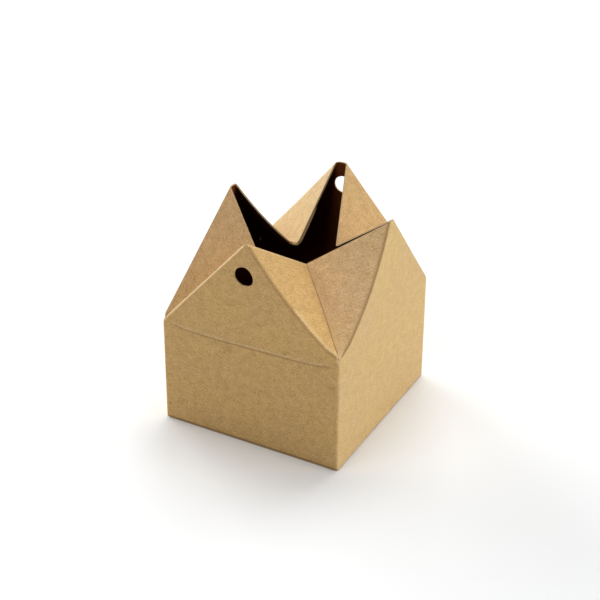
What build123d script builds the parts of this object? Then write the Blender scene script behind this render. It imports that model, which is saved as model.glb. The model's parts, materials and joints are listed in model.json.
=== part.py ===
from build123d import *
import math
import os

# A small favour box folded from one die-cut sheet of kraft board. Four walls rise into four gables,
# and between the gables each upright corner is pushed inwards as a gusset of two triangles, so the
# open top is a four-pointed star. The origin is the middle of the base, on the surface that the box
# stands on. The front looks along -Y, and the right-hand wall along +X.

# Blank
side = 50.0              # outside width of each wall
card = 0.4               # thickness of the board
corner_height = 31.0     # from the base to the point where a corner's creases meet
rim_height = 59.0        # from the base to the straight upper edge of the blank
peak_flat = 2.1          # rim left between the two creases of a gable
crease_press = 0.02      # depth to which a fold is pressed below the faces of the board

# Lean of each gable out of the upright, in degrees, positive towards the middle of the box
front_lean = -5.0
right_lean = -2.1
back_lean = 2.6
left_lean = 13.0

# Ribbon holes in the front and back gables
hole_diameter = 5.0
front_hole_drop = 9.3    # from the rim down to the hole's middle, along the board
back_hole_drop = 6.3
hole_shift = -0.6        # from the middle of its gable, along the blank

# Score across the front and back walls, raised outside and hollow inside
score_drop = 1.9         # from the height of the corner points down to the score
score_width = 0.9
score_rise = 0.09
score_inset = 3.3        # plain board between the score's end and the corner

# Glued seam: a flap of the left wall is stuck inside the back wall and inside that wall's gusset triangle
seam_setback = 0.4       # the back wall's cut edge stops this far short of the seam's fold
flap_width = 12.0
flap_foot = 3.0          # from the base to the flap's lower end at its fold
flap_taper = 2.0         # rise of that lower end towards the flap's free edge
flap_relief = 1.6        # bare board between the flap and the gusset crease that it passes
flap_start = 4.0         # along the valley, from the corner to where the flap's fold shows
flap_proud = 0.15        # the flap's upper edge stands above the rim

# Tuck-in base hinged on the right wall, with two dust flaps folded in above it
base_inset = 0.3         # from the outside of the box to the base panel's cut edges
tuck_clearance = 0.15    # between the tuck and the left wall
tuck_height = 10.0
tuck_corner = 5.0        # radius of the tuck's free corners
tuck_inset = 1.5         # from the outside of the box to each end of the tuck
dust_length = 17.0
dust_inset = 1.2         # from the outside of the box to the hinged end of a dust flap
dust_taper = 5.0         # how far each slanted end of a dust flap runs in
cut_edge_lift = 0.1      # gap under the cut edge of the left wall

# Sizes that follow from the blank
half = (side - card) / 2
fold_radius = card / 2 - crease_press
knuckle_radius = fold_radius - crease_press / 2
rise = rim_height - corner_height
half_rim = half - peak_flat / 2
crease_slope = rise / half_rim
base_fold_height = card / 2
dust_fold_height = 3 * card / 2
tuck_fold = half - card - tuck_clearance
base_half = side / 2 - base_inset
tuck_half = side / 2 - tuck_inset
dust_half = side / 2 - dust_inset


def gable_plane(wall, lean):
    """Middle of a gable's board, hinged on its wall at the corner height."""
    hinge = wall.from_local_coords((0, corner_height))
    outward = wall.z_dir.rotate(Axis((0, 0, 0), wall.x_dir), -lean)
    return Plane(origin=hinge, x_dir=wall.x_dir, z_dir=outward)


def valley_point(corner, end_a, end_b):
    """Inner end of a corner's valley crease. The rim is straight in the blank, so this point lies one
    rise from the corner, and half a rim from the crease ends of both gables."""
    across = (end_b - end_a).normalized()
    middle = (end_a + end_b) / 2
    swing = math.sqrt(half_rim**2 - (end_b - end_a).length ** 2 / 4)
    level = (corner - middle).dot(across)
    towards = corner - middle - across * level
    reach = towards.length
    towards = towards.normalized()
    sideways = across.cross(towards)
    cosine = (swing**2 + reach**2 + level**2 - rise**2) / (2 * swing * reach)
    sine = math.sqrt(1 - cosine**2)
    either = [middle + (towards * cosine + sideways * turn) * swing for turn in (sine, -sine)]
    return min(either, key=lambda point: math.hypot(point.X, point.Y))


def facet_plane(corner, valley, crease_end):
    """Middle of a gusset triangle's board, with y up the valley crease and x towards the gable."""
    up = (valley - corner).normalized()
    normal = (crease_end - corner).cross(up).normalized()
    return Plane(origin=corner, x_dir=up.cross(normal), z_dir=normal)


def panel(plane, *outline):
    """Flat panel of board about a middle plane, drawn as it lies in the blank."""
    with BuildSketch(plane) as blank:
        with BuildLine():
            Polyline(*outline, close=True)
        make_face()
    extrude(blank.sketch, amount=card / 2, both=True)


def fold(start, end):
    """Rounded board along a fold line."""
    with BuildSketch(Plane(origin=start, z_dir=end - start)) as section:
        Circle(fold_radius)
    extrude(section.sketch, amount=(end - start).length)


def knuckle(point):
    """Rounded board where folds meet."""
    with Locations(point):
        Sphere(knuckle_radius)


def score(wall, face, end, mode):
    """Shallow ridge raised from a wall's outer face, or the same form hollowed into its inner face."""
    start = wall.from_local_coords((score_inset - half, corner_height - score_drop, face))
    with BuildSketch(Plane(origin=start, x_dir=wall.z_dir, z_dir=wall.x_dir)) as section:
        with BuildLine():
            ThreePointArc((0, -score_width / 2), (score_rise, 0), (0, score_width / 2))
            Polyline((0, score_width / 2), (-score_rise, score_width / 2), (-score_rise, -score_width / 2),
                     (0, -score_width / 2))
        make_face()
    extrude(section.sketch, amount=end + half - score_inset, mode=mode)


# Middle planes of the walls, with x along the wall, y up and z outwards
front_wall = Plane(origin=(0, -half, 0), x_dir=(1, 0, 0), z_dir=(0, -1, 0))
right_wall = Plane(origin=(half, 0, 0), x_dir=(0, 1, 0), z_dir=(1, 0, 0))
back_wall = Plane(origin=(0, half, 0), x_dir=(-1, 0, 0), z_dir=(0, 1, 0))
left_wall = Plane(origin=(-half, 0, 0), x_dir=(0, -1, 0), z_dir=(-1, 0, 0))
walls = [front_wall, right_wall, back_wall, left_wall]
leans = [front_lean, right_lean, back_lean, left_lean]
gables = [gable_plane(wall, lean) for wall, lean in zip(walls, leans)]
front_gable, back_gable = gables[0], gables[2]

# A gable's bend has no crease: wall and gable run on past it until their outer faces meet
mitres = [card / 2 * math.tan(math.radians(abs(lean)) / 2) for lean in leans]
front_mitre, right_mitre, back_mitre, left_mitre = mitres

# Points of the folded blank: the corner and the valley between each wall and the next
corners = [wall.from_local_coords((half, corner_height)) for wall in walls]
peak_ends = [gable.from_local_coords((peak_flat / 2, rise)) for gable in gables]
peak_starts = [gable.from_local_coords((-peak_flat / 2, rise)) for gable in gables]
next_starts = peak_starts[1:] + peak_starts[:1]
valleys = [valley_point(*points) for points in zip(corners, peak_ends, next_starts)]

# The seam is the corner between the back and left walls
seam_corner, seam_valley = corners[2], valleys[2]
seam_near = facet_plane(seam_corner, seam_valley, peak_ends[2])
seam_far = facet_plane(seam_corner, seam_valley, next_starts[2])
seam_angle = math.radians(seam_near.x_dir.get_angle(seam_far.x_dir))
seam_sine = math.sin(seam_angle)
inner_side = -math.copysign(card, seam_near.z_dir.dot(seam_far.x_dir))
flap_plane = seam_near.offset(inner_side)
flap_reach = card / seam_sine
flap_fold = -flap_reach * math.cos(seam_angle)
seam_fold = card - half
back_cut_edge = side / 2 - seam_setback

with BuildPart() as folded_box:
    # Walls, each from its lower edge to the bend where its gable starts to lean
    panel(front_wall, (-half, dust_fold_height), (half, dust_fold_height),
          (half, corner_height + front_mitre), (-half, corner_height + front_mitre))
    panel(right_wall, (-half, base_fold_height), (half, base_fold_height),
          (half, corner_height + right_mitre), (-half, corner_height + right_mitre))
    panel(back_wall, (-half, dust_fold_height), (back_cut_edge, dust_fold_height),
          (back_cut_edge, corner_height + back_mitre), (-half, corner_height + back_mitre))
    panel(left_wall, (seam_fold, cut_edge_lift), (half, cut_edge_lift), (half, corner_height + left_mitre),
          (-half, corner_height + left_mitre), (seam_fold, corner_height - 2 * card))

    # Gables
    for gable, mitre in zip(gables, mitres):
        panel(gable, (-half, -mitre), (half, -mitre), (half, 0), (peak_flat / 2, rise),
              (-peak_flat / 2, rise), (-half, 0))

    # Gussets: two triangles each, alike in the blank but for the cut edge along the seam
    for corner, valley, crease_end, crease_start in zip(corners, valleys, peak_ends, next_starts):
        near = facet_plane(corner, valley, crease_end)
        far = facet_plane(corner, valley, crease_start)
        glued = corner is seam_corner
        cut_edge = card / 2 / seam_sine + seam_setback if glued else 0
        panel(near, (cut_edge, cut_edge * crease_slope), (half_rim, rise), (cut_edge, rise))
        panel(far, (0, 0), (half_rim, rise), (0, rise))

    # Folds: three corners of the tube and the creases of the gussets
    for wall, foot in ((front_wall, base_fold_height), (right_wall, base_fold_height), (left_wall, cut_edge_lift)):
        fold(wall.from_local_coords((half, foot)), wall.from_local_coords((half, corner_height)))
    for corner, valley, crease_end, crease_start in zip(corners, valleys, peak_ends, next_starts):
        fold(corner, valley)
        for end in (crease_end, crease_start):
            fold(corner, end - (end - corner).normalized() * fold_radius / crease_slope)
        knuckle(corner)

    # Glue flap: its fold on the left wall, then its stretches on the back wall, gable and triangle
    panel(back_wall.offset(-card), (half, flap_foot), (half - flap_width, flap_foot + flap_taper),
          (half - flap_width, corner_height), (half, corner_height))
    panel(back_gable.offset(-card), (half - flap_relief / crease_slope, 0), (half - flap_width, 0),
          (half - flap_width, flap_width * crease_slope - flap_relief))
    fold(left_wall.from_local_coords((seam_fold, flap_foot)),
         left_wall.from_local_coords((seam_fold, corner_height - 2 * card)))
    panel(flap_plane, (0, flap_relief), (flap_width, flap_width * crease_slope + flap_relief),
          (flap_width, rise + flap_proud), (flap_fold, rise + flap_proud), (flap_fold, flap_start), (0, flap_start))
    panel(seam_far, (-flap_reach, flap_start), (0, flap_start), (0, rise + flap_proud),
          (-flap_reach, rise + flap_proud))
    fold(flap_plane.from_local_coords((flap_fold, flap_start)),
         flap_plane.from_local_coords((flap_fold, rise + flap_proud)))

    # Base panel, its fold on the right wall, and its tuck inside the left wall
    base_plane = Plane.XY.offset(base_fold_height)
    panel(base_plane, (-tuck_fold, -base_half), (half, -base_half), (half, base_half), (-tuck_fold, base_half))
    fold(base_plane.from_local_coords((half, -base_half)), base_plane.from_local_coords((half, base_half)))
    fold(base_plane.from_local_coords((-tuck_fold, -tuck_half)), base_plane.from_local_coords((-tuck_fold, tuck_half)))
    with BuildSketch(left_wall.offset(tuck_fold - half)) as tuck:
        with BuildLine():
            FilletPolyline((-tuck_half, base_fold_height), (-tuck_half, tuck_height), (tuck_half, tuck_height),
                           (tuck_half, base_fold_height), radius=tuck_corner)
            Line((tuck_half, base_fold_height), (-tuck_half, base_fold_height))
        make_face()
    extrude(tuck.sketch, amount=card / 2, both=True)

    # Dust flaps, hinged on the front and back walls and lying on the base panel
    for wall, inward in ((front_wall, 1), (back_wall, -1)):
        hinge = Plane(origin=wall.origin + Vector(0, 0, dust_fold_height), x_dir=(inward, 0, 0), z_dir=(0, 0, 1))
        panel(hinge, (-dust_half, 0), (dust_half, 0), (dust_half - dust_taper, dust_length),
              (dust_taper - dust_half, dust_length))
        fold(hinge.from_local_coords((-dust_half, 0)), hinge.from_local_coords((dust_half, 0)))

    # Scores, pressed outwards from inside; under the glue flap only the outer ridge shows
    for wall, hollow_end in ((front_wall, half - score_inset), (back_wall, half - flap_width)):
        score(wall, card / 2, half - score_inset, Mode.ADD)
        score(wall, -card / 2, hollow_end, Mode.SUBTRACT)

    # Ribbon holes
    for gable, drop in ((front_gable, front_hole_drop), (back_gable, back_hole_drop)):
        with BuildSketch(gable) as ring:
            with Locations((hole_shift, rise - drop)):
                Circle(hole_diameter / 2)
        extrude(ring.sketch, amount=card, both=True, mode=Mode.SUBTRACT)

folded_box.part.label = "folded_box"
os.makedirs("parts", exist_ok=True)
export_step(folded_box.part, "parts/folded_box.step")
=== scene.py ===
import json
import math
import bpy
import numpy as np
from mathutils import Matrix, Vector, geometry


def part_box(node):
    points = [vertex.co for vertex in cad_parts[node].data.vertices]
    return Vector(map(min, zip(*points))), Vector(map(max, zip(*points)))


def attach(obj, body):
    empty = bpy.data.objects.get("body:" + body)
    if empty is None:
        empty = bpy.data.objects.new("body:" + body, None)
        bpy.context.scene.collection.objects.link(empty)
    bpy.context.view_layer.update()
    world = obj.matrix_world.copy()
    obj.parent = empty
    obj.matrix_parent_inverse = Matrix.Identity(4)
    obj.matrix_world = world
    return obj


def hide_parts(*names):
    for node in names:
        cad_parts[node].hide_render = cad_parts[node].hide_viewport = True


# A small favour box of brown kraft board with a dark inside, folded from one die-cut sheet. The sheet is
# meshed flat, as its blank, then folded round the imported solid. All lengths are in metres.
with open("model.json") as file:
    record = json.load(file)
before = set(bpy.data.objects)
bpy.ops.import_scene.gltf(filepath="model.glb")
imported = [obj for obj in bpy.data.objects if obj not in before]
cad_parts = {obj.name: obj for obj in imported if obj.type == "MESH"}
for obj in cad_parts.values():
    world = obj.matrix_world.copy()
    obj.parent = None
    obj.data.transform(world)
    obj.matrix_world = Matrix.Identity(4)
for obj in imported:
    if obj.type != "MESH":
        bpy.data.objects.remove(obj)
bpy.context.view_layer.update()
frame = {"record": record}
solid_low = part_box("folded_box")[0]

# Sizes of the sheet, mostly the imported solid's own. The gables' leans are in degrees inwards, in the order
# of the blank: left, front, right and back. Holes and scores are on the front wall, 1, and the back wall, 3,
# and hole_wear is by how much the real holes are wider than their size.
side = -2 * solid_low.x
card = 0.0004
corner_height = 0.031
rim_height = 0.059
peak_flat = 0.0021
leans = (13.0, -5.0, -2.1, 2.6)
seam_setback = 0.0004
seam_gap, seam_bend, seam_foot = card / 8, 5 * card, 6 * card
flap_width, flap_foot, flap_taper, flap_relief = 0.012, 0.003, 0.002, 0.0016
flap_start, flap_notch, flap_proud, flap_sink = 0.004, 2 * card, 0.00015, 0.0012
base_inset, tuck_clearance = 0.0003, 0.00015
tuck_height, tuck_corner, tuck_inset = 0.010, 0.005, 0.0015
dust_length, dust_inset, dust_taper = 0.017, 0.0012, 0.005
cut_edge_lift = 0.0001
score_drop, score_width, score_rise = 0.0019, 0.0010, 0.00022
score_left, score_right, upturn_left, upturn_right = 0.0024, 0.0033, 0.0010, 0.0005
hole_drops, hole_shift = {1: 0.0093, 3: 0.0063}, -0.0006
hole_radius = next(m for m in frame["record"]["mounts"] if m["kind"] == "bore")["dims"]["r_mm"] / 1000
hole_wear = {1: 0.00022, 3: -0.0001}

# Sizes that follow from them
half = (side - card) / 2
wall = 2 * half
rise = rim_height - corner_height
half_rim = half - peak_flat / 2
crease_slope = rise / half_rim
base_fold = card / 2
dust_fold = 3 * card / 2
tuck_fold = half - card - tuck_clearance
base_length = half + tuck_fold

# Mesh spacing in the blank: a plain grid, and finer rows beside the folds, the scores and the holes
grid_step, grid_row = 0.0011, 0.866
line_step = 0.0007
row_offsets, row_clear = [0.00011, 0.00024, 0.0004, 0.0006, 0.00085], grid_step / 3
score_stretches, score_offsets, score_clear = 24, [0, 0.00015, 0.0003, 0.00045, 0.0006], 0.0008
ring_points, ring_margins, ring_clear = 56, (0.0002, 0.0005, 0.0009), 0.0012
tuck_stretches = 8
merge_cell, weld_distance = 0.00009, 1e-7
sharp_angle, shortest = math.radians(50), 1e-12

# How far each kind of fold is rounded to either side of its line. A valley's rounding grows from fold_core
# at its corner to its own of valley_rounds at the rim.
wall_round, crease_round, flap_round = 0.00035, 0.00035, 0.0003
fold_core = 0.00015
soft_creases = {(1, 1): 0.0008}
bend_rounds = [0.0006, 0.003, 0.0015, 0.0015]
valley_rounds = [0.0017, 0.0002, 0.0003, 0.0004]

# How the real sheet strays from a square box with straight creases, as moves in space. Sides of the box
# are counted as in the blank: 0 left, 1 front, 2 right, 3 back. Corner k joins sides k - 1 and k, and
# each corner's two gusset creases are told apart by their side: -1 for side k - 1 and 1 for side k. A bow is
# the most that a line strays between its ends.
foot_moves = [(0, 0, 0), (-0.00025, 0, 0), (0.00036, -0.0010, 0), (0, 0.00068, 0)]
corner_moves = [(0, 0, -0.0008), (-0.0004, 0, -0.0007), (0, 0, 0), (0.0004, 0, 0.0001)]
valley_moves = [(-0.0006, 0, -0.0012), (0, 0, 0), (-0.0006, 0, 0.0002), (-0.0004, 0, 0.0003)]
valley_bows = [(0, 0, 0), (0, 0, 0), (0.0005, 0, 0), (0, 0, 0)]
peak_moves = {(1, -1): (-0.0003, 0, 0), (1, 1): (0.0006, 0, -0.0002), (2, -1): (-0.0001, 0, 0),
              (3, -1): (0.0002, 0.0001, 0), (3, 1): (0.0008, 0, 0.0003), (4, -1): (0, 0, 0.0001)}
crease_bows = {(2, -1): (-0.0004, -0.0007, -0.0007), (2, 1): (0.00075, 0.0011, -0.00095),
               (4, -1): (0, 0, -0.0004)}
rim_bows = {(0, 1): (-0.00015, -0.0008, -0.0003)}
tip_lifts, tip_reach = {2: 0.0010}, 0.006

# Colours of the board, in linear light, and the painted light and shade that multiply them on single panels
kraft_pink, kraft_yellow = (0.616, 0.425, 0.201), (0.624, 0.434, 0.192)
# Pale kraft for wear and painted highlights, dark kraft for pressed fibres and painted shade
wear_and_highlight_kraft, pressed_and_shaded_kraft = (0.74, 0.55, 0.32), (0.30, 0.165, 0.07)
inside_low, inside_high = (0.105, 0.027, 0.003), (0.145, 0.038, 0.005)
edge_low, edge_high = (0.42, 0.28, 0.15), (0.54, 0.39, 0.22)
# Painted warm shade on the front wall and gable, no painted light on the other panels, and how strongly the
# right wall's grain shows
front_painted_shade, no_painted_light, right_grain = (1.02, 0.94, 0.83), (1, 1, 1, 1), 0.66
# Painted light and shade on single gusset triangles, partly the board's own tint
gusset_painted_light = {(2, -1): (0.97, 0.90, 0.78), (2, 1): (1.29, 1.25, 1.40), (1, -1): (1.08, 1.01, 1.06),
                (4, -1): (1.03, 1.06, 1.18), (3, 1): (1.0, 0.94, 0.95)}

# Marks along the folds as width and strength: above 0 is pale and below 0 dark, some from wear and pressed
# fibres and some painted highlight and painted shade
# valley_painted_shade is painted shade along the valley creases, wall_fold_mark partly wear and partly
# painted highlight, plain_crease_mark partly pressed fibres and partly painted shade
wall_fold_mark, valley_painted_shade, plain_crease_mark = (0.0005, 0.2), (0.00035, -1.0), (0.0006, -0.35)
# crease_marks: painted highlight on the front gable's left crease, painted shade beside its right crease,
# and on the right gable's left crease partly pressed fibres, partly painted shade
crease_marks = {(1, 1): (0.0009, 1.2), (1, -1): (0.0007, -0.5), (2, 1): (0.00062, -0.85)}
# Painted contact shadow along the feet of the front, right and back walls
foot_painted_shadows = {1: (0.00045, -1.0), 2: (0.0004, -0.6), 3: (0.00045, -1.0)}
pale_rims, rim_mark = [(1, -1), (2, -1)], (0.0003, 0.9)
# Painted highlight beside the valley between the front and right walls: a short line up from the corner,
# then a strip to the rim
tip_highlight_rise, tip_painted_highlight = 0.0019, (0.0013, 1.0)
valley_highlight_gap, valley_painted_highlight = 0.0006, (0.0005, 0.6)
crease_rub_place, crease_rub_share, crease_rub = (0.0004, 0.0016), 0.42, (0.0009, 0.7)

# Painted light along the scores, a painted highlight above each and a painted shadow below: how far below
# the score's line, width and strength
score_painted_light = [(-0.0002, 0.00038, 0.72), (0.00036, 0.00033, -0.9)]

# Specks and scuffs on the front wall: place in the blank, size and depth, in millimetres
front = wall * 1000
front_specks = [(front + 1.25, 4.91, 0.35, 0.6), (front + 5.77, 13.98, 0.3, 0.65),
                (front + 34.73, 29.75, 0.4, 0.55), (front + 19.1, 26.6, 1.5, 0.90),
                (front + 25.9, 27.7, 1.2, 0.92), (front + 48.3, 24.0, 0.8, 0.85)]

# Noises in the blank, in millimetres: scale, detail, roughness and for the fibres curl
cloud_noise, formation_noise, grain_noise = (0.07, 3), (0.45, 4, 0.65), (2.4, 3, 0.7)
inside_noise, edge_noise, fibre_noise = (2.0, 3, 0.7), (3.0, 3, 0.7), (1, 2, 0.5, 0.7)

# Which stretch of a noise counts, and the shades that its ends give
cloud_range, noise_range, pale_range = (0.35, 0.65), (0.3, 0.7), (0.35, 0.6)
formation_shades, grain_shades, pale_amounts = (0.92, 1.07), (0.83, 1.15), (0.4, 0.8)
green_power, blue_power = 1.15, 1.5

# Fibres: direction in degrees, length, width, the stretch of the noise that counts, and shade
fibre_rows = [(4, 1.9, 0.24, 0.56, 0.68, 0.84), (72, 1.5, 0.22, 0.58, 0.70, 0.84),
              (-48, 1.7, 0.22, 0.58, 0.70, 1.14), (28, 1.4, 0.2, 0.58, 0.7, 1.15)]

# Fine specks: cells per millimetre, which cells have one, its soft radius and its depth
speck_scale, speck_choice, speck_range, speck_depth = 0.55, (0.60, 0.62), (0.05, 0.11), 0.35

# Roughness over the grain, gloss, and relief as strength and height
kraft_roughness, inside_roughness, edge_roughness = (0.72, 0.9), (0.55, 0.7), 0.9
plain_gloss, inside_gloss = 0.2, 0.1
streak_height, grain_height = 0.25, 0.6
kraft_relief, inside_relief, edge_relief = (0.8, 0.00012), (0.3, 0.00005), (0.4, 0.00006)


class Plane:
    """Middle of a flat panel's board: x to the right and y up in the blank, z out of the box."""

    def __init__(self, origin, x, y):
        self.origin, self.x, self.y = Vector(origin), Vector(x).normalized(), Vector(y).normalized()
        self.z = self.x.cross(self.y).normalized()

    def at(self, x, y):
        return self.origin + self.x * x + self.y * y

    def offset(self, distance):
        return Plane(self.origin + self.z * distance, self.x, self.y)


def lean_back(panel, lean):
    """The gable over a wall, hinged at the corner height."""
    angle = math.radians(lean)
    return Plane(panel.at(0, corner_height), panel.x, panel.y * math.cos(angle) - panel.z * math.sin(angle))


def valley_point(corner, end_a, end_b):
    """Inner end of a valley crease: one rise from the corner, half a rim from both gables' crease ends."""
    across = (end_b - end_a).normalized()
    middle = (end_a + end_b) / 2
    swing = math.sqrt(half_rim**2 - (end_b - end_a).length_squared / 4)
    level = (corner - middle).dot(across)
    towards = corner - middle - across * level
    reach = towards.length
    towards.normalize()
    sideways = across.cross(towards)
    cosine = (swing**2 + reach**2 + level**2 - rise**2) / (2 * swing * reach)
    sine = math.sqrt(1 - cosine**2)
    either = [middle + (towards * cosine + sideways * turn) * swing for turn in (sine, -sine)]
    return min(either, key=lambda point: math.hypot(point.x, point.y))


# Panels in the order of the blank, from left to right: left, front, right and back wall
up = (0, 0, 1)
walls = [Plane((-half, 0, 0), (0, -1, 0), up), Plane((0, -half, 0), (1, 0, 0), up),
         Plane((half, 0, 0), (0, 1, 0), up), Plane((0, half, 0), (-1, 0, 0), up)]
gables = [lean_back(panel, lean) for panel, lean in zip(walls, leans)]
corners = [walls[k % 4].at(-half, corner_height) for k in range(5)]
peak_starts = [gables[k % 4].at(-peak_flat / 2, rise) for k in range(5)]
peak_ends = [gables[(k + 3) % 4].at(peak_flat / 2, rise) for k in range(5)]
valleys = [valley_point(*points) for points in zip(corners, peak_ends, peak_starts)]


def facet(corner, valley, crease_end, turn):
    """A gusset triangle's middle plane, with the corner as its origin and y up the valley crease."""
    way = (valley - corner).normalized()
    return Plane(corner, (crease_end - corner - way * rise) * turn, way)


near_facets = [facet(*points, -1) for points in zip(corners, valleys, peak_ends)]
far_facets = [facet(*points, 1) for points in zip(corners, valleys, peak_starts)]

# The glue flap of the left wall lies inside the back wall, its gable and its gusset triangle
flap_wall = walls[3].offset(-card)
flap_gable = Plane(flap_wall.at(0, corner_height), flap_wall.x, gables[3].y)
flap_facet = near_facets[0].offset(-card)
flap_reach = card / far_facets[0].x.dot(near_facets[0].z)
flap_line = -flap_reach * far_facets[0].x.dot(near_facets[0].x)
cut_line = card / 2 / far_facets[0].x.dot(near_facets[0].z) + seam_setback

# Base panel and tuck of the right wall, and the dust flaps of the front and back walls
base_panel = Plane(walls[2].at(0, base_fold), walls[2].x, (1, 0, 0))
tuck = Plane((-tuck_fold, 0, base_fold), walls[2].x, (0, 0, -1))
dust_flaps = {1: Plane(walls[1].at(0, dust_fold), walls[1].x, (0, -1, 0)),
              3: Plane(walls[3].at(0, dust_fold), walls[3].x, (0, 1, 0))}


def panel_at(u, v):
    """The panel that holds a point of the blank, the point's place on it, and the outer panel's u there."""
    crease = corner_height + max(-u, 0) * crease_slope
    if u < -flap_reach and v > crease:
        x = u + flap_reach + flap_line
        return flap_facet, x, v - corner_height, 4 * wall + x
    if u < card and v <= max(crease, corner_height) and not (u >= 0 and v > corner_height - flap_notch):
        x = u + half - card
        if v > corner_height:
            return flap_gable, x, v - corner_height, 3.5 * wall + x
        return flap_wall, x, v, 3.5 * wall + x
    k = min(max(int(u / wall), 0), 3)
    x = u - (k + 0.5) * wall
    if v > corner_height:
        y = v - corner_height
        if abs(x) <= half - y / crease_slope:
            return gables[k], x, y, u
        return (near_facets[k + 1], x - half, y, u) if x > 0 else (far_facets[k], x + half, y, u)
    if k == 2 and v < base_fold - base_length:
        return tuck, x, v - base_fold + base_length, u
    if k == 2 and v < base_fold:
        return base_panel, x, v - base_fold, u
    if k in dust_flaps and v < dust_fold:
        return dust_flaps[k], x, v - dust_fold, u
    return walls[k], x, v, u


def blank_outline():
    """Cut edge of the blank, anticlockwise from the left foot. The flap's rim sinks at its free end."""
    points = [(card, cut_edge_lift), (wall, cut_edge_lift)]
    for k in (1, 2, 3):
        if k == 2:
            inset, end = base_inset - card / 2, base_fold - base_length
            tuck_side, tip = tuck_inset - card / 2, end - tuck_height + base_fold
            turns = [math.pi / 2 * i / tuck_stretches for i in range(tuck_stretches + 1)]
            round_in = [(tuck_side + tuck_corner * (1 - math.cos(a)), tip + tuck_corner * (1 - math.sin(a)))
                        for a in turns]
            left = [(0, base_fold), (inset, base_fold), (inset, end), (tuck_side, end)] + round_in
        else:
            inset = dust_inset - card / 2
            left = [(0, dust_fold), (inset, dust_fold), (inset + dust_taper, dust_fold - dust_length)]
        points += [(k * wall + u, v) for u, v in left]
        points += [((k + 1) * wall - u, v) for u, v in reversed(left)]
    seam = 4 * wall - seam_setback + card / 2
    points[-1] = (seam, dust_fold)
    closed = 4 * wall - seam_gap
    cut = 4 * wall - cut_line
    points += [(seam, corner_height - seam_foot), (closed, corner_height - seam_bend),
               (closed, corner_height), (closed, corner_height + seam_gap * crease_slope),
               (cut, corner_height + cut_line * crease_slope), (cut, rim_height)]
    tip = -flap_reach - flap_line - flap_width
    points += [(-flap_reach, rim_height), (-flap_reach, rim_height + flap_proud),
               (tip + 5 * flap_sink, rim_height + flap_proud), (tip + 2 * flap_sink, rim_height),
               (tip + flap_sink / 2, rim_height - flap_sink / 3), (tip, rim_height - flap_sink),
               (tip, corner_height + flap_width * crease_slope + flap_relief),
               (-flap_reach - flap_line, corner_height + flap_relief),
               (-flap_reach - flap_line, corner_height + flap_start), (0, corner_height + flap_start),
               (0, corner_height), (card, corner_height - flap_notch),
               (card - flap_relief / crease_slope, corner_height),
               (card - flap_width, corner_height + flap_width * crease_slope - flap_relief),
               (card - flap_width, flap_foot + flap_taper), (card, flap_foot)]
    return points


def fold_between(first, last, towards_a, towards_b, width, last_width=None):
    """A fold line of the blank, with the way in which its rounding moves the board."""
    bisector = (towards_a + towards_b).normalized()
    opening = towards_a.angle(towards_b) / 2
    return dict(first=first, last=last, way=np.array(bisector), slope=1 / math.tan(opening),
                sine=math.sin(opening), width=width, last_width=last_width or width)


def blank_folds():
    """Every fold of the blank: walls, gables, gussets, flap, base, tuck and dust flaps."""
    folds = []
    feet = {1: cut_edge_lift, 2: base_fold, 3: base_fold}
    for k in (1, 2, 3):
        u = k * wall
        folds.append(fold_between((u, feet[k]), (u, corner_height), -walls[k - 1].x, walls[k].x, wall_round))
        folds.append(fold_between((u, corner_height), (u, rim_height), -near_facets[k].x, far_facets[k].x,
                                  fold_core, valley_rounds[k]))
    for k in range(4):
        u = k * wall
        folds.append(fold_between((u, corner_height), (u + wall, corner_height), -walls[k].y, gables[k].y,
                                  bend_rounds[k]))
        for corner, peak, sheet, turn in ((u, u + half_rim, far_facets[k], 1),
                                          (u + wall, u + wall - half_rim, near_facets[k + 1], -1)):
            line = Vector((turn * half_rim, rise)).normalized()
            into_gable = gables[k].x * line.y * turn - gables[k].y * line.x * turn
            into_facet = sheet.y * line.x * turn - sheet.x * line.y * turn
            folds.append(fold_between((corner, corner_height), (peak, rim_height), into_gable, into_facet,
                                      soft_creases.get((k, turn), crease_round)))
    folds.append(fold_between((card, flap_foot), (card, corner_height - flap_notch),
                              -flap_wall.x, walls[0].x, flap_round))
    folds.append(fold_between((-flap_reach, corner_height + flap_start), (-flap_reach, rim_height),
                              -flap_facet.x, far_facets[0].x, fold_core, valley_rounds[0]))
    base_side, tuck_side = base_inset - card / 2, tuck_inset - card / 2
    tuck_level = base_fold - base_length
    folds.append(fold_between((2 * wall + base_side, base_fold), (3 * wall - base_side, base_fold),
                              -base_panel.y, walls[2].y, flap_round))
    folds.append(fold_between((2 * wall + tuck_side, tuck_level), (3 * wall - tuck_side, tuck_level),
                              -tuck.y, base_panel.y, flap_round))
    dust_side = dust_inset - card / 2
    for k, flap in dust_flaps.items():
        folds.append(fold_between((k * wall + dust_side, dust_fold), ((k + 1) * wall - dust_side, dust_fold),
                                  -flap.y, walls[k].y, flap_round))
    return folds


def steps(first, last):
    """Evenly spaced points from first to last, both included."""
    count = max(1, math.ceil(math.dist(first, last) / line_step))
    return [(first[0] + (last[0] - first[0]) * i / count, first[1] + (last[1] - first[1]) * i / count)
            for i in range(count + 1)]


def along(points, first, last):
    """Distance of each point from a line between two points, and its share of the way along."""
    first, last = np.array(first, float), np.array(last, float)
    line = last - first
    share = np.clip((points - first) @ line / (line @ line), 0, 1)
    return np.linalg.norm(points - first - share[:, None] * line, axis=1), share


def score_line(k, drop=0.0):
    """Points along a wall's score, which turns up a little at both ends, or along a line below it."""
    first, last = k * wall + score_left, (k + 1) * wall - score_right
    line = []
    for i in range(score_stretches + 1):
        t = i / score_stretches
        upturn = (upturn_left if t < 0.5 else upturn_right) * (2 * t - 1) ** 4
        line.append((first + (last - first) * t, corner_height - score_drop - drop + upturn))
    return line


def along_score(points, k):
    """Distance of each point from a wall's score."""
    line = score_line(k)
    return np.min([along(points, *pair)[0] for pair in zip(line, line[1:])], axis=0)


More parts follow.
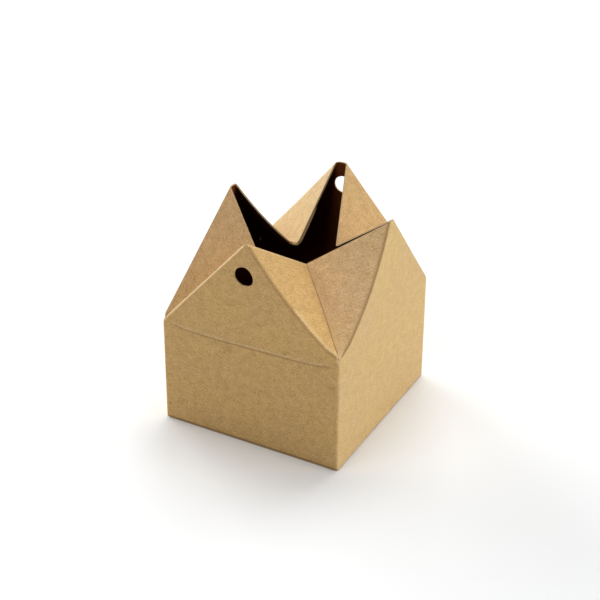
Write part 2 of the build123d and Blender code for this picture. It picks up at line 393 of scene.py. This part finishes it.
def ring(centre, radius, shift):
    """Evenly spaced points on a circle, the first one shifted by a share of their spacing."""
    turns = [2 * math.pi * (i + shift) / ring_points for i in range(ring_points)]
    return [(centre[0] + radius * math.cos(a), centre[1] + radius * math.sin(a)) for a in turns]


def meshed_blank(folds):
    """The flat sheet as triangles: fine rows beside folds, scores and holes, and a plain grid between."""
    holes = [(((k + 0.5) * wall + hole_shift, rim_height - drop), hole_radius + hole_wear[k])
             for k, drop in hole_drops.items()]
    rings = [blank_outline()] + [ring(centre, radius, 0) for centre, radius in holes]
    coords, edges, faces = [], [], []
    for cut in rings:
        loop = []
        for first, last in zip(cut, cut[1:] + cut[:1]):
            for point in steps(first, last)[:-1]:
                loop.append(len(coords))
                coords.append(point)
        faces.append(loop)
    outline = np.array(coords)
    for fold in folds:
        line = steps(fold["first"], fold["last"])
        edges += [(len(coords) + i, len(coords) + i + 1) for i in range(len(line) - 1)]
        coords += line
    score_lines = [pair for k in (1, 3) for pair in zip(score_line(k), score_line(k)[1:])]
    rows = []
    for first, last, offsets in ([(fold["first"], fold["last"], row_offsets) for fold in folds]
                                 + [(*line, score_offsets) for line in score_lines]):
        way = (Vector(last) - Vector(first)).normalized()
        across = Vector((-way.y, way.x))
        for offset in offsets:
            for turn in (1, -1):
                start, end = Vector(first) + across * offset * turn, Vector(last) + across * offset * turn
                trim = way * min(offset, (end - start).length / 4)
                rows += steps(tuple(start + trim), tuple(end - trim))
    for centre, radius in holes:
        for margin in ring_margins:
            rows += ring(centre, radius + margin, 0.5)
    low, high = outline.min(0), outline.max(0)
    grid = [(low[0] + (i + 0.5 * (j % 2)) * grid_step, low[1] + j * grid_step * grid_row)
            for i in range(int((high[0] - low[0]) / grid_step) + 1)
            for j in range(int((high[1] - low[1]) / grid_step / grid_row) + 1)]
    grid = np.array(grid)
    keep = np.ones(len(grid), bool)
    for fold in folds:
        keep &= along(grid, fold["first"], fold["last"])[0] > row_offsets[-1] + row_clear
    for line in score_lines:
        keep &= along(grid, *line)[0] > score_clear
    for centre, radius in holes:
        keep &= np.linalg.norm(grid - np.array(centre), axis=1) > radius + ring_clear
    taken = set()
    for point in rows + [tuple(p) for p in grid[keep]]:
        cell = (round(point[0] / merge_cell), round(point[1] / merge_cell))
        if cell not in taken:
            taken.add(cell)
            coords.append(point)
    made = geometry.delaunay_2d_cdt([Vector(p) for p in coords], edges, faces, 1, weld_distance)
    triangles = np.array([face for face, rings_of in zip(made[2], made[5]) if set(rings_of) == {0}])
    used, renumbered = np.unique(triangles, return_inverse=True)
    points = np.array([tuple(p) for p in made[0]])[used]
    return points, [tuple(face) for face in renumbered.reshape(-1, 3).tolist()]


def bump(distance, radius):
    """1 at no distance, falling smoothly to 0 at the radius."""
    return np.clip(1 - (distance / radius) ** 2, 0, 1) ** 2


def drift(u, v, sharp):
    """How far a point of the folded sheet strays from the square box."""
    spread = Vector((0, 0, 0))
    over = max(v - corner_height, 0) / rise
    for k, lift in tip_lifts.items():
        spread += Vector((0, 0, lift * float(bump(math.dist((u, v), (k * wall, corner_height)), tip_reach))))
    for k, (sx, sy) in enumerate(((-1, 1), (-1, -1), (1, -1), (1, 1))):
        share = (1 + sx * sharp.x / half) * (1 + sy * sharp.y / half) / 4
        level = min(max(sharp.z / corner_height, 0), 1)
        spread += share * ((1 - level) * Vector(foot_moves[k])
                           + level * max(1 - over, 0) * Vector(corner_moves[k]))
    if over <= 0:
        return spread
    k = round(u / wall)
    away = abs(u - k * wall)
    turn = 1 if u > k * wall else -1
    reach = over * half_rim
    towards = min(away / reach, 1)
    across = min(max(away - reach, 0) / (half - over * half_rim), 1)
    own, other = peak_moves.get((k, turn), (0, 0, 0)), peak_moves.get((k + turn, -turn), (0, 0, 0))
    peak = Vector(own) * (1 - across / 2) + Vector(other) * across / 2
    spread += over * (1 - towards) * Vector(valley_moves[k % 4]) + over * towards * peak
    spread += 4 * over * (1 - over) * (1 - towards) * Vector(valley_bows[k % 4])
    spread += 4 * over * (1 - over) * towards * (1 - across) * Vector(crease_bows.get((k, turn), (0, 0, 0)))
    return spread + 4 * over**2 * towards * (1 - towards) * Vector(rim_bows.get((k, turn), (0, 0, 0)))


def fold_sheet(blank, folds):
    """Folded places of the blank's points, with rounded folds, raised scores and the sheet's own drift."""
    placed = []
    for u, v in blank.tolist():
        panel, x, y, outer_u = panel_at(u, v)
        sharp = panel.at(x, y)
        placed.append(sharp + drift(outer_u, v, sharp))
    placed = np.array(placed)
    lapped = dict(next(fold for fold in folds if fold["first"][0] == -flap_reach))
    lapped["first"] = (4 * wall + flap_line, corner_height + flap_start)
    lapped["last"] = (4 * wall + flap_line, rim_height)
    for fold in folds + [lapped]:
        across, share = along(blank, fold["first"], fold["last"])
        width = fold["width"] + (fold["last_width"] - fold["width"]) * share
        depth = fold["slope"] * np.clip(width - across * fold["sine"], 0, None) ** 2 / (2 * width)
        placed += depth[:, None] * fold["way"]
    for k in (1, 3):
        placed += (score_rise * bump(along_score(blank, k), score_width / 2))[:, None] * np.array(walls[k].z)
    return placed


def fold_marks():
    """Lines along which the outside is made pale, above 0, or dark, below 0, with their widths: wear and
    pressed fibres, and painted highlights and painted shade.
    """
    lines = []
    for k in (1, 2, 3):
        # Partly wear, partly painted highlight along each wall fold
        lines.append(((k * wall, 0), (k * wall, corner_height), *wall_fold_mark))
        # Painted shade down each valley crease
        lines.append(((k * wall, corner_height), (k * wall, rim_height), *valley_painted_shade))
    for k in range(4):
        for side, foot in ((1, k * wall), (-1, (k + 1) * wall)):
            # Gusset creases: painted highlight, painted shade, or partly pressed fibres and partly painted
            # shade, as in crease_marks
            mark = crease_marks.get((k, side), plain_crease_mark)
            lines.append(((foot, corner_height), (foot + side * half_rim, rim_height), *mark))
    # Painted highlight beside the valley between the front and right walls, and up to it from the corner
    highlight_foot = (2 * wall + valley_highlight_gap, corner_height + tip_highlight_rise)
    lines.append((highlight_foot, (highlight_foot[0], rim_height), *valley_painted_highlight))
    lines.append(((2 * wall, corner_height), highlight_foot, *tip_painted_highlight))
    crease_foot = (2 * wall - crease_rub_place[0], corner_height + crease_rub_place[1])
    crease_end = (crease_foot[0] - crease_rub_share * half_rim, crease_foot[1] + crease_rub_share * rise)
    lines.append((crease_foot, crease_end, *crease_rub))
    # Painted contact shadow along the walls' feet
    for k, mark in foot_painted_shadows.items():
        foot = base_fold if k == 2 else dust_fold
        lines.append(((k * wall, foot), ((k + 1) * wall, foot), *mark))
    for k, side in pale_rims:
        lines.append(((k * wall, rim_height), (k * wall + side * half_rim, rim_height), *rim_mark))
    # Painted highlight and painted shadow along each score
    for k in (1, 3):
        for drop, width, strength in score_painted_light:
            line = score_line(k, drop)
            lines += [(*pair, width, strength) for pair in zip(line, line[1:])]
    return lines


def panel_painted_light(u, v):
    """Painted light and shade from panel to panel, partly the board's own tint, and how strongly its grain
    shows there.
    """
    panel = panel_at(u, v)[0]
    if panel is walls[1] or panel is gables[1]:
        return (*front_painted_shade, 1)
    if panel is walls[2] or panel is gables[2]:
        return (1, 1, 1, right_grain)
    for (k, side), painted_light_and_grain in gusset_painted_light.items():
        if panel is (near_facets if side < 0 else far_facets)[k]:
            return (*painted_light_and_grain, 1)
    return no_painted_light


def point_normals(points, triangles):
    """Outward direction of the folded sheet at each of its points."""
    first, second, third = (points[triangles[:, i]] for i in range(3))
    face_normals = np.cross(second - first, third - first)
    normals = np.zeros_like(points)
    for i in range(3):
        np.add.at(normals, triangles[:, i], face_normals)
    return normals / np.maximum(np.linalg.norm(normals, axis=1), shortest)[:, None]


def sheet_mesh(name):
    """The folded sheet with its thickness: outside, inside and cut edge are its three materials."""
    folds = blank_folds()
    blank, triangles = meshed_blank(folds)
    middle = fold_sheet(blank, folds)
    normals = point_normals(middle, np.array(triangles))
    count = len(middle)
    points = np.concatenate([middle + normals * card / 2, middle - normals * card / 2])
    inside = [tuple(count + i for i in reversed(face)) for face in triangles]
    directed = {(a, b) for face in triangles for a, b in zip(face, face[1:] + face[:1])}
    rim = [(b, a, a + count, b + count) for a, b in directed if (b, a) not in directed]
    mesh = bpy.data.meshes.new(name)
    mesh.from_pydata(points.tolist(), [], triangles + inside + rim)
    on_flap = [max(blank[a][0], blank[b][0]) < 2 * card and min(blank[a][1], blank[b][1]) < rim_height - card
               for b, a, *_ in rim]
    mesh.polygons.foreach_set("material_index", [0] * len(triangles) + [1] * len(inside)
                              + [1 if dark else 2 for dark in on_flap])
    # Painted light and shade per face, with the grain's strength as alpha
    painted_lights_and_grain = [panel_painted_light(*blank[list(face)].mean(0)) for face in triangles]
    painted_lights_and_grain += [no_painted_light] * (len(inside) + len(rim))
    painted_light_and_grain = mesh.attributes.new("painted_light_and_grain", "FLOAT_COLOR", "FACE")
    painted_light_and_grain.data.foreach_set("color", np.array(painted_lights_and_grain, np.float32).ravel())
    # Wear and painted light and shade along the lines of fold_marks, kept per point
    wear_and_light = np.zeros(count)
    for first, last, width, strength in fold_marks():
        mark = strength * bump(along(blank, first, last)[0], width)
        wear_and_light = np.where(abs(mark) > abs(wear_and_light), mark, wear_and_light)
    wear_and_painted_light = mesh.attributes.new("wear_and_painted_light", "FLOAT", "POINT")
    wear_and_painted_light.data.foreach_set("value", np.concatenate([wear_and_light, wear_and_light]).astype(np.float32))
    where = mesh.attributes.new("blank", "FLOAT_VECTOR", "POINT")
    flat = np.zeros((2 * count, 3), np.float32)
    flat[:, :2] = np.concatenate([blank, blank]) * 1000
    where.data.foreach_set("vector", flat.ravel())
    mesh.shade_smooth()
    mesh.set_sharp_from_angle(angle=sharp_angle)
    mesh.update()
    return mesh


class Shading:
    """A material's nodes, added one after the other. A value that a method takes may be another's output."""

    def __init__(self, name, roughness, gloss):
        self.material = bpy.data.materials.new(name)
        self.material.use_nodes = True
        self.nodes, self.links = self.material.node_tree.nodes, self.material.node_tree.links
        self.shader = self.nodes["Principled BSDF"]
        self.shader.inputs["Roughness"].default_value = roughness
        self.shader.inputs["Specular IOR Level"].default_value = gloss

    def add(self, kind, settings=None, **inputs):
        """A new node with its inputs by name, such as From_Min, or by number, such as i0."""
        node = self.nodes.new(kind)
        for key, value in (settings or {}).items():
            setattr(node, key, value)
        for key, value in inputs.items():
            socket = node.inputs[int(key[1:])] if key[1:].isdigit() else node.inputs[key.replace("_", " ")]
            if hasattr(value, "is_output"):
                self.links.new(value, socket)
            else:
                socket.default_value = value
        return node

    def attribute(self, name, output):
        return self.add("ShaderNodeAttribute", {"attribute_name": name}).outputs[output]

    def noise(self, where, scale, detail, roughness=0.55, curl=0.0):
        return self.add("ShaderNodeTexNoise", Vector=where, Scale=scale, Detail=detail, Roughness=roughness,
                        Distortion=curl).outputs["Fac"]

    def ramp(self, value, low, high, to_low, to_high):
        """A value that goes smoothly from to_low to to_high while the given one goes from low to high."""
        return self.add("ShaderNodeMapRange", {"interpolation_type": "SMOOTHSTEP"}, Value=value,
                        From_Min=low, From_Max=high, To_Min=to_low, To_Max=to_high).outputs["Result"]

    def math(self, operation, first, second):
        return self.add("ShaderNodeMath", {"operation": operation}, i0=first, i1=second).outputs[0]

    def blend(self, kind, amount, first, second):
        node = self.add("ShaderNodeMix", {"data_type": "RGBA", "blend_type": kind}, i0=amount)
        for socket, value in ((node.inputs[6], first), (node.inputs[7], second)):
            if hasattr(value, "is_output"):
                self.links.new(value, socket)
            else:
                socket.default_value = (*value, 1)
        return node.outputs[2]

    def fibres(self, where, turn, length, width):
        """Slightly curled streaks that lie in one direction of the sheet."""
        turned = self.add("ShaderNodeMapping", Vector=where, Location=(turn, turn / 3, 0),
                          Rotation=(0, 0, math.radians(turn))).outputs[0]
        drawn = self.add("ShaderNodeMapping", Vector=turned, Scale=(1 / length, 1 / width, 1)).outputs[0]
        return self.noise(drawn, *fibre_noise)

    def bump(self, height, strength, distance):
        node = self.add("ShaderNodeBump", Height=height, Strength=strength, Distance=distance)
        self.links.new(node.outputs[0], self.shader.inputs["Normal"])


def kraft_material():
    """Outside of the board: brown unbleached pulp with cloudy formation, fibres, specks, worn folds, and
    painted light and shade along folds, scores and feet and on single panels.
    """
    kraft = Shading("kraft_outside", kraft_roughness[1], plain_gloss)
    place = kraft.attribute("blank", "Vector")
    clouds = kraft.noise(place, *cloud_noise)
    formation = kraft.noise(place, *formation_noise)
    grain = kraft.noise(place, *grain_noise)
    colour = kraft.blend("MIX", kraft.ramp(clouds, *cloud_range, 0, 1), kraft_pink, kraft_yellow)
    # Multiplies in each panel's painted light and shade
    colour = kraft.blend("MULTIPLY", 1, colour, kraft.attribute("painted_light_and_grain", "Color"))
    shade = kraft.ramp(formation, *noise_range, *formation_shades)
    shade = kraft.math("MULTIPLY", shade, kraft.ramp(grain, *noise_range, *grain_shades))
    streaks = None
    for turn, length, width, low, high, depth in fibre_rows:
        streak = kraft.fibres(place, turn, length, width)
        shade = kraft.math("MULTIPLY", shade, kraft.ramp(streak, low, high, 1, depth))
        streaks = streak if streaks is None else kraft.math("ADD", streaks, streak)
    shade = kraft.math("ADD", 1.0, kraft.math("MULTIPLY", kraft.math("SUBTRACT", shade, 1.0),
                                              kraft.attribute("painted_light_and_grain", "Alpha")))
    cells = kraft.add("ShaderNodeTexVoronoi", Vector=place, Scale=speck_scale)
    rare = kraft.ramp(cells.outputs["Color"], *speck_choice, 0, 1)
    speck = kraft.ramp(cells.outputs["Distance"], *speck_range, speck_depth, 0)
    shade = kraft.math("MULTIPLY", shade, kraft.math("SUBTRACT", 1.0, kraft.math("MULTIPLY", rare, speck)))
    for u, v, size, depth in front_specks:
        gap = kraft.add("ShaderNodeVectorMath", {"operation": "DISTANCE"}, i0=place, i1=(u, v, 0))
        shade = kraft.math("MULTIPLY", shade, kraft.ramp(gap.outputs["Value"], size / 2, size, depth, 1))
    warm_shade = kraft.add("ShaderNodeCombineColor", i0=shade, i1=kraft.math("POWER", shade, green_power),
                           i2=kraft.math("POWER", shade, blue_power)).outputs[0]
    colour = kraft.blend("MULTIPLY", 1, colour, warm_shade)
    # Pale mix for wear and painted highlights, dark mix for pressed fibres and painted shade, along folds,
    # scores and feet
    fold = kraft.attribute("wear_and_painted_light", "Fac")
    wear_and_highlight = kraft.math("MULTIPLY", kraft.math("MAXIMUM", fold, 0.0),
                      kraft.ramp(grain, *pale_range, *pale_amounts))
    colour = kraft.blend("MIX", wear_and_highlight, colour, wear_and_highlight_kraft)
    pressed_and_shade = kraft.math("MULTIPLY", kraft.math("MINIMUM", fold, 0.0), -1.0)
    colour = kraft.blend("MIX", pressed_and_shade, colour, pressed_and_shaded_kraft)
    kraft.links.new(colour, kraft.shader.inputs["Base Color"])
    kraft.links.new(kraft.ramp(grain, *noise_range, *kraft_roughness), kraft.shader.inputs["Roughness"])
    height = kraft.math("ADD", kraft.math("MULTIPLY", streaks, streak_height),
                        kraft.math("MULTIPLY", grain, grain_height))
    kraft.bump(height, *kraft_relief)
    return kraft.material


def inside_material():
    """Inside of the board: a dark brown printed face, slightly smoother than the outside."""
    inside = Shading("dark_inside", inside_roughness[1], inside_gloss)
    place = inside.attribute("blank", "Vector")
    grain = inside.noise(place, *inside_noise)
    inside.links.new(inside.blend("MIX", inside.ramp(grain, *noise_range, 0, 1), inside_low, inside_high),
                     inside.shader.inputs["Base Color"])
    inside.links.new(inside.ramp(grain, *noise_range, *inside_roughness), inside.shader.inputs["Roughness"])
    inside.bump(grain, *inside_relief)
    return inside.material


def edge_material():
    """Cut edge of the board: pale raw pulp."""
    edge = Shading("cut_edge", edge_roughness, plain_gloss)
    place = edge.attribute("blank", "Vector")
    grain = edge.noise(place, *edge_noise)
    edge.links.new(edge.blend("MIX", edge.ramp(grain, *noise_range, 0, 1), edge_low, edge_high),
                   edge.shader.inputs["Base Color"])
    edge.bump(grain, *edge_relief)
    return edge.material


def shown(tree, otherwise):
    """1 for the rays that show the floor and the room themselves, and another level for the rest."""
    rays = tree.nodes.new("ShaderNodeLightPath").outputs
    seen = None
    for ray in ("Is Camera Ray", "Is Glossy Ray", "Is Transmission Ray"):
        node = tree.nodes.new("ShaderNodeMath")
        node.operation = "MAXIMUM"
        node.inputs[1].default_value = otherwise
        tree.links.new(rays[ray], node.inputs[0])
        if seen is not None:
            tree.links.new(seen, node.inputs[1])
        seen = node.outputs[0]
    return seen


def outwards(turn, height):
    """Direction from the box to what stands at a turn and a height above the floor, in degrees."""
    turn, height = math.radians(turn), math.radians(height)
    return Vector((math.sin(turn) * math.cos(height), -math.cos(turn) * math.cos(height), math.sin(height)))


sheet = bpy.data.objects.new("kraft_box", sheet_mesh("kraft_box"))
bpy.context.scene.collection.objects.link(sheet)
for material in (kraft_material(), inside_material(), edge_material()):
    sheet.data.materials.append(material)
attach(sheet, "root")
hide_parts("folded_box")

# Floor: white paper that the camera sees a little brighter than it is lit, and plain white far from the box
floor_half, floor_colour, floor_roughness = 3, (0.89, 0.9, 0.905, 1), 1.0
floor_lift, lift_low, lift_high = 0.085, 0.15, 0.6
floor_mesh = bpy.data.meshes.new("floor")
floor_corners = [(x * floor_half, y * floor_half, 0) for x, y in ((-1, -1), (1, -1), (1, 1), (-1, 1))]
floor_mesh.from_pydata(floor_corners, [], [(0, 1, 2, 3)])
floor = bpy.data.objects.new("floor", floor_mesh)
bpy.context.scene.collection.objects.link(floor)
paper = Shading("floor", floor_roughness, plain_gloss)
paper.shader.inputs["Base Color"].default_value = floor_colour
from_box = paper.add("ShaderNodeVectorMath", {"operation": "LENGTH"},
                     i0=paper.add("ShaderNodeNewGeometry").outputs["Position"]).outputs["Value"]
lift = paper.ramp(from_box, lift_low, lift_high, floor_lift, 1)
level = paper.math("MULTIPLY", shown(paper.material.node_tree, 0.0), lift)
glow = paper.add("ShaderNodeEmission", Color=(1, 1, 1, 1), Strength=level)
both = paper.add("ShaderNodeAddShader", i0=paper.shader.outputs[0], i1=glow.outputs[0])
paper.links.new(both.outputs[0], paper.nodes["Material Output"].inputs["Surface"])
floor_mesh.materials.append(paper.material)

# Camera at the photograph's angle, so that the target is at its own pixel of the picture
azimuth, elevation, roll = 27.8, 30.03, math.radians(0.35)
focal, sensor = 0.108, 0.036
clip_near, clip_far = 0.01, 20
distance = 0.4725
target = Vector((0, 0, 0.015))
target_pixel = (296.9, 348.1)
image = 600
back = outwards(azimuth, elevation)
sideways = Vector(up).cross(back).normalized()
upright = back.cross(sideways)
right = sideways * math.cos(roll) + upright * math.sin(roll)
above = upright * math.cos(roll) - sideways * math.sin(roll)
pixel = distance * sensor / focal / image
camera = bpy.data.objects.new("camera", bpy.data.cameras.new("camera"))
bpy.context.scene.collection.objects.link(camera)
camera.data.lens, camera.data.sensor_width = focal * 1000, sensor * 1000
camera.data.clip_start, camera.data.clip_end = clip_near, clip_far
place = target + back * distance
place = place - right * (target_pixel[0] - image / 2) * pixel - above * (image / 2 - target_pixel[1]) * pixel
camera.matrix_world = Matrix.Translation(place) @ Matrix((right, above, back)).transposed().to_4x4()
bpy.context.scene.camera = camera

# Room: it gives next to no light, and the camera and clear reflections see it white
room_light = 0.02
world = bpy.data.worlds.new("studio")
bpy.context.scene.world = world
world.use_nodes = True
room = world.node_tree.nodes["Background"].inputs
room["Color"].default_value = (1, 1, 1, 1)
world.node_tree.links.new(shown(world.node_tree, room_light), room["Strength"])

# Four soft boxes: turn and height in degrees as seen from the box, and level, where 1 alone shows a colour
# that faces the lamp as it is written
lamps = [("right_softbox", (97, 14), 0.775), ("left_softbox", (252, 14), 1.15),
         ("top_softbox", (188, 62), 0.66), ("front_softbox", (340, 45), 0.32)]
lamp_distance, lamp_size = 1.0, 0.7
box_middle = Vector((0, 0, 0.03))
for name, (turn, height), lamp_level in lamps:
    lamp = bpy.data.objects.new(name, bpy.data.lights.new(name, "AREA"))
    bpy.context.scene.collection.objects.link(lamp)
    lamp.location = outwards(turn, height) * lamp_distance
    lamp.rotation_euler = (box_middle - lamp.location).to_track_quat("-Z", "Y").to_euler()
    lamp.data.size = lamp_size
    lamp.data.energy = lamp_level * (math.pi * lamp_distance) ** 2

bpy.context.scene.view_settings.view_transform = "Standard"
